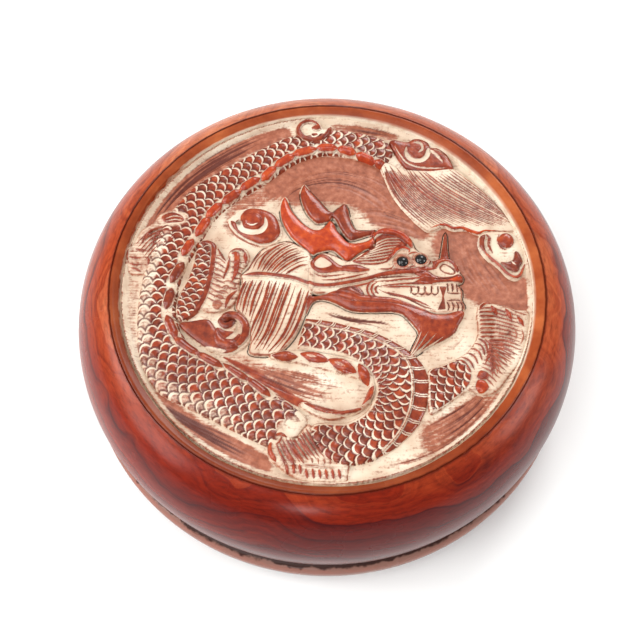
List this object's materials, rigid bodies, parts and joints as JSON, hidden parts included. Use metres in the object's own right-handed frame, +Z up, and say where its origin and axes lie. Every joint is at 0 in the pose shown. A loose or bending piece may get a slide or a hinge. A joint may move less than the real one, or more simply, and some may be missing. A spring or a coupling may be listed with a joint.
{
  "type": "ink stick and stone box",
  "caption": "Round lidded wooden box with a dragon carved in relief on its lid and bead eyes, holding a grinding inkstone and an ink stick.",
  "frame": {"origin": "on the turning axis, at the plane that the foot ring stands on", "axes": "+Z up along the turning axis, +Y towards the top of the carved picture, +X to the picture's right"},
  "size_m": [0.11, 0.11, 0.038],
  "materials": {
    "turned_wood": "polished red-brown",
    "carved_wood": "polished, with pale pigment in the carving",
    "black_glass": "gloss black",
    "slate": "fine matt",
    "pressed_ink": "satin black"
  },
  "bodies": {
    "base": {"base": "turned_wood"},
    "inkstone": {"inkstone": "slate"},
    "ink_stick": {"ink_stick": "pressed_ink"},
    "lid": {"lid": "carved_wood", "left_eye": "black_glass", "right_eye": "black_glass"}
  },
  "joints": [
    {"name": "inkstone_lift", "type": "slide", "parent": "base", "child": "inkstone", "axis": [0, 0, 1], "range_m": [0, 0.04]},
    {"name": "ink_stick_lift", "type": "slide", "parent": "inkstone", "child": "ink_stick", "axis": [0, 0, 1], "range_m": [0, 0.03]},
    {"name": "lid_lift", "type": "slide", "parent": "ink_stick", "child": "lid", "axis": [0, 0, 1], "range_m": [0, 0.06]}
  ]
}
